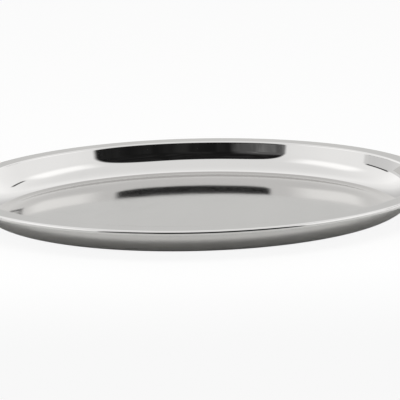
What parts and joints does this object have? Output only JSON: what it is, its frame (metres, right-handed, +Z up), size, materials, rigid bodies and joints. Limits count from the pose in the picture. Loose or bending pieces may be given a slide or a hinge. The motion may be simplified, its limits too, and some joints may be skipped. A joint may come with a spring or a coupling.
{
  "type": "serving tray",
  "caption": "Oval polished steel serving tray with a flat floor, a steep curved wall, a flat flange and a wired rolled edge.",
  "frame": {"origin": "middle of the base's flat underside, where the tray rests on the table", "axes": "+Z up, +X along the tray's long side, +Y along its short side"},
  "size_m": [0.45, 0.33, 0.03],
  "materials": {
    "polished_steel": "mirror polished stainless steel",
    "steel_wire": "bright drawn stainless wire"
  },
  "bodies": {
    "root": {"tray_pan": "polished_steel", "rim_wire": "steel_wire"}
  },
  "joints": []
}
